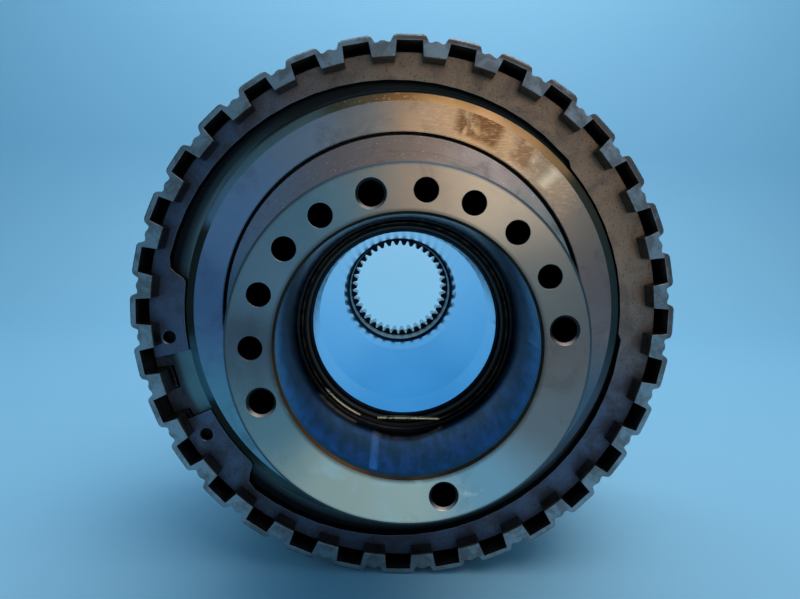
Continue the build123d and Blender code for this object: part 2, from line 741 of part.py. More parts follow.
def return_disc_springs():
    """A stack of conical springs between the retainer and the piston, nested in turn."""
    inner, outer = SPRING_R
    step = (SPRING_Y[1] - SPRING_Y[0]) / SPRINGS
    springs = []
    for k in range(SPRINGS):
        y = SPRING_Y[0] + k * step
        low, high = (y, y + SPRING_RISE) if k % 2 == 0 else (y + SPRING_RISE, y)
        profile = ((inner, low), (outer, high), (outer, high + SPRING_THICK), (inner, low + SPRING_THICK))
        springs.append(turned(*profile))
    return springs


def spring_retainer():
    return ring(*RETAINER_R, *RETAINER_Y)


def retainer_snap_ring():
    inner, outer = RETAINER_SNAP_R
    y0, y1 = RETAINER_SNAP_Y
    gap = Box(10.0, y1 - y0 + 2, RETAINER_SNAP_GAP).translate((HOUSING_TUBE_R, (y0 + y1) / 2, 0))
    return ring(inner, outer, y0, y1) - around(gap, [SNAP_GAP_ANGLE])


# ---- planets and carrier ------------------------------------------------------------------------


def planet_angle(number):
    return PLANET_PHASE + 360.0 * number / PLANETS


def planet_gear(number):
    angle = planet_angle(number)
    y0, y1 = PLANET_Y
    x, _, z = polar(CENTRE_DISTANCE, angle)
    blank = prism(outline(PLANET_TEETH, angle, gear_points(PLANET_TEETH, False), y0), y1 - y0)
    return (blank - disc(PLANET_BORE_R, y0 - 1, y1 + 1)).translate((x, 0, z))


def needle_rollers(number):
    """A full row of needle rollers between a planet and its pin."""
    y0, y1 = PLANET_Y[0] + ROLLER_END_PLAY, PLANET_Y[1] - ROLLER_END_PLAY
    mid = (PIN_R + PLANET_BORE_R) / 2
    x, _, z = polar(CENTRE_DISTANCE, planet_angle(number))
    return [bar(ROLLER_R, y0, y1, mid, a).translate((x, 0, z)) for a in evenly(ROLLERS)]


def planet_pins():
    """Five pins with an oil hole along the middle and one across to the rollers."""
    pins = []
    for number in range(PLANETS):
        angle = planet_angle(number)
        x, _, z = polar(CENTRE_DISTANCE, angle)
        y0, y1 = FRONT_PLATE_Y[0] + 0.2, REAR_PLATE_Y[1] - 0.5
        edge_r = PIN_R - 1
        pin = turned((0, y0), (edge_r, y0), (PIN_R, y0 + 1), (PIN_R, y1 - 1), (edge_r, y1), (0, y1))
        oil_way = disc(PIN_OIL_WAY_R, PIN_CROSS_WAY_Y - 3, y1 + 1)
        cross = radial_bar(PIN_CROSS_WAY_R, 0.0, PIN_R + 1, PIN_CROSS_WAY_Y, angle + 180)
        pins.append((pin - oil_way - cross).translate((x, 0, z)))
    return pins


def planet_thrust_washers():
    """A thin washer each side of each planet."""
    gaps = ((FRONT_PLATE_Y[1], PLANET_Y[0]), (PLANET_Y[1], REAR_PLATE_Y[0]))
    washers = []
    for number in range(PLANETS):
        x, _, z = polar(CENTRE_DISTANCE, planet_angle(number))
        for y0, y1 in gaps:
            washer = ring(PIN_R + 0.1, THRUST_WASHER_R, y0 + 0.1, y1 - 0.1)
            washers.append(washer.translate((x, 0, z)))
    return washers


def post_angles():
    return evenly(PLANETS, PLANET_PHASE + 180.0 / PLANETS)


def pin_holes():
    y0, y1 = FRONT_PLATE_Y[0] - 1, REAR_PLATE_Y[1] + 1
    return [bar(PIN_R, y0, y1, CENTRE_DISTANCE, a) for a in evenly(PLANETS, PLANET_PHASE)]


def front_carrier_plate():
    y0, y1 = FRONT_PLATE_Y
    body = turned(
        (FRONT_PLATE_BORE_R, y0),
        (CARRIER_R - 1, y0),
        (CARRIER_R, y0 + 1),
        (CARRIER_R, y1),
        (FRONT_PLATE_BORE_R, y1),
    )
    threads = [bar(BOLT_R, y0 - 1, y1 + 1, CENTRE_DISTANCE, a) for a in post_angles()]
    return body - pin_holes() - threads


def rear_carrier_plate():
    """The rear plate with its posts, its journal and the output spline."""
    y0, y1 = REAR_PLATE_Y
    bore = CARRIER_BUSHING_R[1]
    body = turned(
        (bore, y0),
        (CARRIER_R, y0),
        (CARRIER_R, y1 - 1),
        (CARRIER_R - 1, y1),
        (CARRIER_HUB_R + 3, y1),
        (CARRIER_HUB_R, y1 + 3),
        (CARRIER_HUB_R, CARRIER_HUB_END_Y - 1),
        (CARRIER_HUB_R - 1, CARRIER_HUB_END_Y),
        (bore, CARRIER_HUB_END_Y),
    )
    posts = [bar(POST_R, FRONT_PLATE_Y[1], y0, CENTRE_DISTANCE, a) for a in post_angles()]
    bolts = [bar(BOLT_R, FRONT_PLATE_Y[0], y1 + 1, CENTRE_DISTANCE, a) for a in post_angles()]
    seat_y = y1 - SPOT_FACE_DEPTH
    spot_faces = [bar(SPOT_FACE_R, seat_y, y1 + 1, CENTRE_DISTANCE, a) for a in post_angles()]
    pitch = 360.0 / OUTPUT_SPLINE_TEETH
    start = y1 + 4.0
    half_root, half_tip = (pitch * share for share in OUTPUT_TOOTH)
    teeth = trapezoid(half_root, half_tip, OUTPUT_SPLINE_ROOT_R, CARRIER_HUB_R + 0.5)
    blank = ring(OUTPUT_SPLINE_ROOT_R - 1, CARRIER_HUB_R + 2, start, CARRIER_HUB_END_Y + 1)
    spaces = blank - prism(outline(OUTPUT_SPLINE_TEETH, 0.0, teeth, start - 1), 30.0)
    return body + posts - pin_holes() - bolts - spot_faces - spaces


def carrier_bolts():
    """Hexagon head bolts through the posts into the front plate."""
    head_y = REAR_PLATE_Y[1] - SPOT_FACE_DEPTH
    head_end = head_y + BOLT_HEAD_HEIGHT
    bolts = []
    for angle in post_angles():
        x, _, z = polar(CENTRE_DISTANCE, angle)
        shank = disc(BOLT_R, FRONT_PLATE_Y[0] + 0.3, head_y)
        seat = Plane(origin=(0, head_y, 0), x_dir=(1, 0, 0), z_dir=(0, 1, 0))
        head = extrude(seat * RegularPolygon(BOLT_HEAD_CORNER_R, 6), amount=BOLT_HEAD_HEIGHT)
        dome = turned(
            (0, head_y - 1),
            (BOLT_HEAD_CORNER_R, head_y - 1),
            (BOLT_HEAD_CORNER_R, head_end - 1),
            (BOLT_HEAD_CORNER_R - 1, head_end),
            (0, head_end),
        )
        bolts.append((shank + (head & dome)).translate((x, 0, z)))
    return bolts


def carrier_bushing():
    return ring(*CARRIER_BUSHING_R, REAR_PLATE_Y[0] + 0.5, CARRIER_HUB_END_Y - 0.5)


# ---- all parts ----------------------------------------------------------------------------------


def all_parts():
    """Every node's name and its solids."""
    parts = {
        "hub_shaft": hub_shaft(),
        "nose_seal": nose_seal(),
        "seal_wire_ring": seal_wire_ring(),
        "clutch_hub": clutch_hub(),
        "hub_thrust_washer": hub_thrust_washer(),
        "sealing_rings": sealing_rings(),
        "sun_gear": sun_gear(),
        "clutch_drum": clutch_drum(),
        "front_snap_ring": front_snap_ring(),
        "reaction_plate": reaction_plate(),
        "piston_housing": piston_housing(),
        "housing_bushings": housing_bushings(),
        "housing_snap_ring": plain_snap_ring(snap_places()[1]),
        "ring_gear_front_snap_ring": plain_snap_ring(snap_places()[2]),
        "ring_gear_rear_snap_ring": plain_snap_ring(snap_places()[3]),
        "ring_gear": ring_gear(),
        "piston": piston(),
        "piston_outer_seal": piston_outer_seal(),
        "piston_inner_seal": piston_inner_seal(),
        "return_disc_springs": return_disc_springs(),
        "spring_retainer": spring_retainer(),
        "retainer_snap_ring": retainer_snap_ring(),
        "front_carrier_plate": front_carrier_plate(),
        "rear_carrier_plate": rear_carrier_plate(),
        "carrier_bolts": carrier_bolts(),
        "carrier_bushing": carrier_bushing(),
        "planet_pins": planet_pins(),
        "planet_thrust_washers": planet_thrust_washers(),
    }
    for number in range(DISCS):
        parts[f"friction_disc_{number + 1}"] = friction_disc(number)
        parts[f"friction_lining_{number + 1}"] = friction_lining(number)
        parts[f"steel_plate_{number + 1}"] = steel_plate(number)
    for number in range(PLANETS):
        parts[f"planet_gear_{number + 1}"] = planet_gear(number)
        parts[f"needle_rollers_{number + 1}"] = needle_rollers(number)
    return parts


def solids_of(shape):
    """The separate solids of a shape, a group or a list of either."""
    if isinstance(shape, list):
        return [solid for item in shape for solid in item.solids()]
    return list(shape.solids())


def write_parts():
    os.makedirs("parts", exist_ok=True)
    for name, shape in all_parts().items():
        solids = solids_of(shape)
        whole = solids[0] if len(solids) == 1 else Compound(children=solids)
        export_step(whole, os.path.join("parts", name + ".step"))


write_parts()
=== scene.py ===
import json
import math

import bpy
from mathutils import Matrix, Vector


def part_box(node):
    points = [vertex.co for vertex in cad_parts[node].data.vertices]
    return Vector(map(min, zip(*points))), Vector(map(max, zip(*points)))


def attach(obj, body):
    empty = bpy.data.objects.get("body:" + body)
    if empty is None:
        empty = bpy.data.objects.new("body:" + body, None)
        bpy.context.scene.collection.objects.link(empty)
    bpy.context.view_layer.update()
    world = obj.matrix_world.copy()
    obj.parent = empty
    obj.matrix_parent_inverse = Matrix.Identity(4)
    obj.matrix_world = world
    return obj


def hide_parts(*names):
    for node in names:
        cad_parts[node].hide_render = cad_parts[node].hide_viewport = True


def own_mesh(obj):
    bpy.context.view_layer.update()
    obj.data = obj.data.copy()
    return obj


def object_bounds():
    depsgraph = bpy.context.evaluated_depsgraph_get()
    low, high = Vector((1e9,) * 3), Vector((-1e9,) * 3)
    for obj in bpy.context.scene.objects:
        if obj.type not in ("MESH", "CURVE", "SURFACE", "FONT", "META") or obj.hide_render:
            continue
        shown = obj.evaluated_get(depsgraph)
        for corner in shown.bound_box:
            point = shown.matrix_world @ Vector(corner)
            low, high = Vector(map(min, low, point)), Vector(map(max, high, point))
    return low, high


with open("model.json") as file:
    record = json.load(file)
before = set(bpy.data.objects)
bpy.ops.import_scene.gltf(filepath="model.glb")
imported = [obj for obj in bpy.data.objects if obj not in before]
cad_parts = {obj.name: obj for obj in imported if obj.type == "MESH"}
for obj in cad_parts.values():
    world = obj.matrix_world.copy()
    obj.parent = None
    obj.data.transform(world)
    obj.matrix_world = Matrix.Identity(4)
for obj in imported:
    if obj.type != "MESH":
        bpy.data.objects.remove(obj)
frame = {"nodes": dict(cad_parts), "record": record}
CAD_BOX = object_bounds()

MM = 0.001

# ---- where the surfaces of the part lie, in millimetres along and around the Y axis -------------

NOSE_FACE_Y = -51.0
NOSE_EDGE_R = 60.0  # the chamfer round the nose begins at this radius
NOSE_EDGE_Y = -50.0  # and ends here
MOUTH_R = 45.0  # the chamfer of the nose bore begins at this radius
MOUTH_Y = -50.1  # and ends here
HOLES_R = (46.0, 59.5)  # the tapped holes and oil galleries lie between these radii
SEAT_Y = (0.0, 6.2)  # the seal's seat, from the end of the nose bore to the tube
TUBE_STEP_Y = 163.4
CHANNEL_Y = (163.7, 179.7)  # the plain bore between the step and the spline
SPLINE_FRONT_Y = 180.0

# Radii in the hub's metal, just outside these bores. A mask that ends there has the whole wall.
NOSE_BORE_WITHIN_R = 44.6
SEAT_WITHIN_R = 45.0
TUBE_WITHIN_R = 39.6
STEP_WITHIN_R = 35.5
SPLINE_WITHIN_R = 34.4

DRUM_FRONT_Y = 27.0
GROOVES_R = (113.0, 122.25)  # from inside the tooth tips to the floor of the grooves
LOBE_WEAR_R = (123.9, 124.7)

SNAP_RING_WALL_Y = 36.25  # behind its front edge
SNAP_RING_GAP = (199.2, 8.2)  # the middle of the gap and half its width, in degrees

PLATE_BEVEL_R = (97.3, 101.2)
PLATE_STEP_R = 101.3

# ---- a short way to write node materials --------------------------------------------------------

BEVEL_SAMPLES = 4
ANGLE_WANDER = 16.0  # the range over which a colour by angle strays, in degrees


class Field:
    """A value in a material's node tree. Arithmetic on it adds the nodes."""

    def __init__(self, shader, socket):
        self.shader = shader
        self.socket = socket

    def __add__(self, other):
        return self.shader.math("ADD", self, other)

    def __sub__(self, other):
        return self.shader.math("SUBTRACT", self, other)

    def __mul__(self, other):
        return self.shader.math("MULTIPLY", self, other)

    def __truediv__(self, other):
        return self.shader.math("DIVIDE", self, other)

    def ease(self, low, high):
        """0 below low, 1 above high, and smooth between them. low may be the larger."""
        return self.shader.call(
            "ShaderNodeMapRange",
            {"Value": self, "From Min": low, "From Max": high},
            interpolation_type="SMOOTHSTEP",
        )

    def band(self, low, high, soft):
        """1 between low and high, falling to 0 over soft on both sides."""
        return self.ease(low - soft, low) * self.ease(high + soft, high)

    def flip(self):
        """1 where this is 0, and 0 where it is 1."""
        return self.shader.math("SUBTRACT", 1.0, self)

    def either(self, other):
        """The larger of two masks."""
        return self.shader.math("MAXIMUM", self, other)


class Shader:
    """A Principled material in the row frame, with places in millimetres about the Y axis."""

    def __init__(self, name, metallic=1.0, **sockets):
        self.material = bpy.data.materials.new(name)
        self.material.use_nodes = True
        self.tree = self.material.node_tree
        self.bsdf = self.tree.nodes["Principled BSDF"]
        self.set(Metallic=metallic, **sockets)
        coords = self.call("ShaderNodeTexCoord", output="Object")
        self.place = self.call(
            "ShaderNodeVectorMath", {0: coords, 1: (1.0 / MM,) * 3}, operation="MULTIPLY"
        )
        self.x, self.y, self.z = self.split(self.place)
        self.r = self.math("SQRT", self.x * self.x + self.z * self.z)
        self.turn = self.math("ARCTAN2", self.z, self.x) * (180.0 / math.pi)

    def feed(self, socket, value):
        """Links a field to a socket, or sets the socket to a constant. None leaves it alone."""
        if isinstance(value, Field):
            self.tree.links.new(value.socket, socket)
        elif value is not None:
            socket.default_value = value

    def call(self, kind, inputs=None, output=0, **settings):
        """Adds a node of this kind and gives one of its outputs."""
        node = self.tree.nodes.new(kind)
        for name, value in settings.items():
            setattr(node, name, value)
        for name, value in (inputs or {}).items():
            self.feed(node.inputs[name], value)
        return Field(self, node.outputs[output])

    def math(self, operation, first, second=None):
        return self.call("ShaderNodeMath", {0: first, 1: second}, operation=operation)

    def split(self, vector):
        """The three parts of a vector."""
        node = self.tree.nodes.new("ShaderNodeSeparateXYZ")
        self.feed(node.inputs[0], vector)
        return [Field(self, output) for output in node.outputs]

    def vector(self, x, y, z):
        return self.call("ShaderNodeCombineXYZ", {0: x, 1: y, 2: z})

    def set(self, **sockets):
        """Sets sockets of the Principled node: Coat_Weight stands for Coat Weight."""
        for name, value in sockets.items():
            self.feed(self.bsdf.inputs[name.replace("_", " ")], value)

    def noise(self, scale, detail=3.0, rough=0.5, at=None, warp=0.0):
        """Noise with this many cells per millimetre."""
        return self.call(
            "ShaderNodeTexNoise",
            {
                "Vector": at or self.place,
                "Scale": scale,
                "Detail": detail,
                "Roughness": rough,
                "Distortion": warp,
            },
        )

    def turned(self, scale):
        """Tool marks of a lathe: the same all the way round."""
        return self.noise(scale, 4.0, 0.7, at=self.vector(self.r, self.y, 0.0))

    def sector(self, angle, half, soft):
        """1 within half degrees of an angle about Y, falling to 0 over soft more."""
        a = math.radians(angle)
        near = (self.x * math.cos(a) + self.z * math.sin(a)) / self.r
        return near.ease(math.cos(math.radians(half + soft)), math.cos(math.radians(half)))

    def within(self, radius, soft=0.3):
        """1 nearer to the axis than this radius, and 0 outside it."""
        return self.r.ease(radius, radius - soft)

    def by_angle(self, stops):
        """A colour that changes with the angle about Y, from (degrees, colour) stops."""
        node = self.tree.nodes.new("ShaderNodeValToRGB")
        wander = (self.noise(0.05) - 0.5) * ANGLE_WANDER
        self.feed(node.inputs[0], self.math("FRACT", (self.turn + wander) / 360.0))
        ramp = node.color_ramp
        ramp.interpolation = "EASE"
        first = rgba(stops[0][1])
        ramp.elements[0].color = ramp.elements[1].color = first
        for angle, colour in stops[1:]:
            ramp.elements.new(angle / 360.0).color = rgba(colour)
        return Field(self, node.outputs[0])

    def mix(self, base, other, factor):
        """base where factor is 0 and other where it is 1. Each is a colour or a field."""
        node = self.tree.nodes.new("ShaderNodeMix")
        node.data_type = "RGBA"
        colours = [s for s in node.inputs if s.type == "RGBA"]
        self.feed(node.inputs[0], factor)
        for socket, value in zip(colours, (base, other)):
            self.feed(socket, rgba(value) if isinstance(value, tuple) else value)
        return Field(self, next(s for s in node.outputs if s.type == "RGBA"))

    def rounded(self, radius):
        """The surface's normal, with corners rounded by a radius in millimetres."""
        return self.call("ShaderNodeBevel", {"Radius": radius * MM}, samples=BEVEL_SAMPLES)

    def edges(self, radius):
        """1 where the surface turns a corner within this many millimetres."""
        flat = self.call("ShaderNodeNewGeometry", output="Normal")
        along = self.call(
            "ShaderNodeVectorMath",
            {0: self.rounded(radius), 1: flat},
            output="Value",
            operation="DOT_PRODUCT",
        )
        return along.ease(0.995, 0.80)

    def facing_up(self):
        """1 where the surface leans upwards, as at the bottom of a countersink."""
        normal = self.call("ShaderNodeNewGeometry", output="Normal")
        return self.split(normal)[2].ease(0.25, 0.65)

    def relief(self, height, depth, corner=None):
        """Bump of this depth in millimetres, over corners rounded by a small radius."""
        bump = self.call(
            "ShaderNodeBump",
            {
                "Strength": 1.0,
                "Distance": depth * MM,
                "Height": height,
                "Normal": self.rounded(corner) if corner else None,
            },
        )
        self.set(Normal=bump)


def rgba(colour):
    return (*colour, 1.0)


# ---- materials ----------------------------------------------------------------------------------

OIL = (0.055, 0.028, 0.012)
SOOT = (0.012, 0.012, 0.015)

# Colours round the front faces: degrees from +X towards +Z, and the base colour there. They are
# stains and heat tints, and they also make up for shade and for mirrored surroundings that this
# scene's lights don't give, so some are not the metal's own colour.

PLATE_FACE_COLOURS = (
    (0, (0.35, 0.215, 0.19)),
    (30, (0.33, 0.25, 0.20)),
    (47, (0.48, 0.34, 0.23)),
    (66, (0.56, 0.34, 0.18)),
    (90, (0.63, 0.39, 0.24)),
    (104, (0.46, 0.36, 0.31)),
    (122, (0.50, 0.44, 0.48)),
    (150, (0.42, 0.44, 0.59)),
    (180, (0.19, 0.225, 0.35)),
    (212, (0.20, 0.35, 0.41)),
    (335, (0.12, 0.16, 0.19)),
)

SHADED = (0.035, 0.035, 0.028)  # painted shade beside the thick parts of the circlip
OPEN = (0.10, 0.20, 0.24)  # the bevel at the circlip's gap
TUBE_BLUE = (0.045, 0.48, 0.85)  # not bare steel: it stands for the blue that the tube mirrors
PLATE_BEVEL_COLOURS = (
    (0, (0.05, 0.08, 0.08)),
    (38, (0.10, 0.09, 0.06)),
    (48, (0.55, 0.30, 0.13)),
    (62, (0.66, 0.36, 0.17)),
    (84, (0.54, 0.28, 0.11)),
    (94, (0.27, 0.12, 0.04)),
    (108, (0.09, 0.08, 0.05)),
    (128, (0.17, 0.24, 0.24)),
    (152, (0.20, 0.28, 0.36)),
    (158, SHADED),
    (189, SHADED),
    (194, OPEN),
    (205, OPEN),
    (209, SHADED),
    (226, SHADED),
    (232, (0.12, 0.20, 0.20)),
    (290, (0.12, 0.17, 0.18)),
    (330, (0.16, 0.18, 0.22)),
)

NOSE_COLOURS = (
    (0, (0.32, 0.21, 0.175)),
    (30, (0.36, 0.30, 0.25)),
    (60, (0.56, 0.45, 0.34)),
    (90, (0.43, 0.32, 0.24)),
    (120, (0.34, 0.42, 0.43)),
    (150, (0.40, 0.41, 0.43)),
    (180, (0.19, 0.175, 0.185)),
    (212, (0.30, 0.34, 0.32)),
    (240, (0.98, 0.67, 0.47)),
    (270, (1.00, 0.75, 0.54)),
    (302, (0.43, 0.53, 0.55)),
    (330, (0.30, 0.25, 0.23)),
)

CLUTCH_HUB_COLOURS = (
    (0, (0.23, 0.20, 0.205)),
    (30, (0.28, 0.29, 0.27)),
    (60, (0.51, 0.40, 0.37)),
    (90, (0.36, 0.25, 0.20)),
    (112, (0.34, 0.24, 0.22)),
    (150, (0.30, 0.29, 0.36)),
    (180, (0.12, 0.17, 0.24)),
    (270, (0.12, 0.13, 0.16)),
)


def worn_metal(
    name, colour, dirt=0.3, marks=0.9, roughness=0.34, corner=0.25, edge=(0.62, 0.62, 0.60)
):
    """Turned metal with an uneven brown oil film, dirt in blotches and bright rubbed edges."""
    m = Shader(name)
    lines = m.turned(marks)
    film = m.noise(0.045, 5.0, 0.62, warp=0.6)
    specks = m.noise(1.3, 3.0, 0.6).ease(0.62, 0.74)
    shade = m.mix(colour, tuple(c * 0.62 for c in colour), lines.ease(0.35, 0.7))
    shade = m.mix(shade, OIL, film.ease(0.50, 0.72) * dirt)
    shade = m.mix(shade, OIL, specks * dirt)
    shade = m.mix(shade, edge, m.edges(corner * 2) * 0.6)
    m.set(Base_Color=shade, Roughness=lines * 0.14 + film * 0.20 + (roughness - 0.16))
    m.relief(lines + specks * 0.4, 0.03, corner)
    return m


def drum_steel(name):
    """Phosphated steel: clean machined ends, grooves darkened by oil and by painted shade, and
    rubbed lobe tops.
    """
    m = Shader(name)
    blotch = m.noise(0.12, 5.0, 0.65, warp=0.4)
    grit = m.noise(1.1, 4.0, 0.7)
    streaks = m.noise(1.0, 4.0, 0.65, at=m.vector(m.x, m.y * 0.06, m.z))
    outside = m.r.ease(121.2, 121.4)
    grooves = m.r.band(*GROOVES_R, 0.15)
    end_face = m.y.ease(DRUM_FRONT_Y + 0.12, DRUM_FRONT_Y + 0.02)

    shade = m.mix((0.135, 0.125, 0.120), (0.060, 0.046, 0.038), blotch.ease(0.38, 0.62))
    worn_tops = m.r.ease(*LOBE_WEAR_R) * streaks.ease(0.34, 0.62)
    shade = m.mix(shade, (0.36, 0.34, 0.34), worn_tops)
    # Inside the drum the grooves and tooth walls are darker: oil, and painted shade in these
    # recesses.
    groove = m.mix((0.085, 0.070, 0.060), OIL, blotch.ease(0.46, 0.66))
    shade = m.mix(shade, groove, grooves * end_face.flip())

    end = m.mix((0.34, 0.37, 0.40), (0.22, 0.21, 0.21), blotch.ease(0.42, 0.62))
    browned = m.r.ease(121.8, 122.8) * m.sector(45.0, 40.0, 20.0) * blotch.ease(0.30, 0.50)
    end = m.mix(end, (0.17, 0.12, 0.105), browned)
    rusty_tips = m.r.ease(116.8, 115.6) * grit.ease(0.54, 0.62) * 0.6
    end = m.mix(end, (0.34, 0.20, 0.14), rusty_tips)
    shade = m.mix(shade, end, end_face)

    shade = m.mix(shade, SOOT, grit.ease(0.60, 0.72) * 0.6)
    rubbed = m.edges(0.6) * streaks.ease(0.25, 0.6) * (outside * 0.45 + 0.35)
    shade = m.mix(shade, (0.56, 0.55, 0.54), rubbed)
    m.set(Base_Color=shade, Roughness=blotch * 0.22 + grit * 0.14 + 0.22)
    m.relief(grit * 0.5 + streaks * 0.5, 0.07, 0.35)
    return m


def snap_ring_steel(name):
    """Phosphated spring steel, pitted and oily: brown high on the right, partly its tint and partly
    painted warm light, and bluish elsewhere.
    """
    m = Shader(name)
    blotch = m.noise(0.07, 6.0, 0.65, warp=0.8)
    pits = m.noise(0.95, 5.0, 0.72)
    # Brown high on the right is partly the ring's tint and partly painted warm light.
    brown = m.mix((0.47, 0.27, 0.17), (0.33, 0.20, 0.14), blotch.ease(0.42, 0.62))
    blue = m.mix((0.13, 0.145, 0.21), (0.11, 0.10, 0.12), blotch.ease(0.42, 0.62))
    shade = m.mix(brown, blue, m.sector(235.0, 95.0, 55.0))
    shade = m.mix(shade, (0.060, 0.045, 0.038), pits.ease(0.54, 0.68) * 0.7)
    shade = m.mix(shade, (0.46, 0.40, 0.36), pits.ease(0.36, 0.27) * 0.5)
    # The side walls behind the front edge are painted near black: painted shade.
    wall = m.y.ease(SNAP_RING_WALL_Y, SNAP_RING_WALL_Y + 0.35)
    shade = m.mix(shade, (0.018, 0.016, 0.016), wall * 0.9)
    shade = m.mix(shade, (0.55, 0.50, 0.46), m.edges(0.4) * wall.flip() * 0.6)
    m.set(Base_Color=shade, Roughness=blotch * 0.20 + pits * 0.22 + 0.24)
    m.relief(pits, 0.05, 0.3)
    return m


def plate_steel(name):
    """Ground steel with brown drips: golden high on one side and cool on the far side, partly
    stains and partly painted warm light and painted reflection.
    """
    m = Shader(name)
    lines = m.turned(0.8)
    cloud = m.noise(0.06, 5.0, 0.62, warp=0.6)
    grit = m.noise(0.9, 5.0, 0.72)
    arcs = m.noise(1.0, 4.0, 0.6, at=m.vector(m.r * 1.6, m.turn * 0.03, 0.0))
    soft = m.noise(1.0, 3.0, 0.5, at=m.vector(m.r * 0.09, m.turn * 0.20, 0.0), warp=0.3)
    scratches = m.noise(1.0, 4.0, 0.7, at=m.vector(m.x * 0.25, m.z * 1.3, 0.0), warp=0.4)
    bevel = m.r.band(*PLATE_BEVEL_R, 0.15)
    shoulder = m.r.ease(PLATE_STEP_R - 0.15, PLATE_STEP_R + 0.2)

    face = m.by_angle(PLATE_FACE_COLOURS)
    shade = m.mix(face, (0.05, 0.05, 0.06), cloud.ease(0.45, 0.75) * 0.35)
    glints = m.sector(47.5, 2.5, 3.0) * m.r.band(88.0, 95.0, 3.0)
    shade = m.mix(shade, (0.90, 0.78, 0.60), glints * 0.6)
    drips = m.sector(69.5, 5.0, 3.0).either(m.sector(52.0, 4.0, 3.5) * 0.7)
    drips = drips * m.r.ease(85.0, 88.0) * soft.ease(0.34, 0.50) * scratches.ease(0.24, 0.44)
    shade = m.mix(shade, (0.17, 0.065, 0.020), drips * 0.9)
    # Golden scratches high on the right: a painted sheen of the warm light.
    painted_gold_sheen = m.sector(60.0, 24.0, 6.0) * scratches.ease(0.48, 0.66)
    shade = m.mix(shade, (0.88, 0.66, 0.42), painted_gold_sheen * 0.30)
    shade = m.mix(shade, OIL, m.sector(175.0, 55.0, 20.0) * grit.ease(0.62, 0.72) * 0.6)

    rim = m.by_angle(PLATE_BEVEL_COLOURS)
    specks = m.sector(92.0, 12.0, 8.0) * m.noise(0.7, 5.0, 0.75).ease(0.60, 0.66)
    rim = m.mix(rim, (0.75, 0.66, 0.55), specks * 0.8)
    shade = m.mix(shade, rim, bevel)

    # The shoulder beyond the bevel: its dark base is painted shade of the circlip, and the lighter
    # arcs near the step are painted light.
    lit = arcs.ease(0.38, 0.62) * m.r.ease(108.0, PLATE_STEP_R)
    side = m.mix((0.05, 0.07, 0.075), (0.26, 0.34, 0.36), lit)
    # Darker still from the right round to the top: painted shade.
    side = m.mix(side, (0.030, 0.020, 0.014), m.sector(45.0, 70.0, 30.0) * 0.8)
    # Lighter teal at the circlip's gap, where the painted shade stops.
    opening = m.sector(*SNAP_RING_GAP, 1.5)
    side = m.mix(side, (0.20, 0.33, 0.36), opening * m.r.ease(113.5, 109.0))
    stained = opening * m.r.ease(109.5, 113.0) * cloud.ease(0.35, 0.60)
    side = m.mix(side, (0.16, 0.13, 0.16), stained)
    # Near black from just inside the circlip outwards, except at its gap: painted shadow of the
    # circlip.
    side = m.mix(side, (0.020, 0.020, 0.024), m.r.ease(107.0, 109.5) * opening.flip())
    rust = grit.ease(0.60, 0.68) * m.r.ease(109.0, 112.0)
    side = m.mix(side, (0.14, 0.055, 0.022), rust)
    shade = m.mix(shade, side, shoulder)

    shade = m.mix(shade, (0.60, 0.58, 0.54), m.edges(0.35) * 0.25)
    matte = bevel.either(shoulder)
    m.set(Base_Color=shade, Roughness=lines * 0.08 + cloud * 0.12 + 0.16 + matte * 0.26)
    m.relief(lines, 0.005, 0.2)
    return m


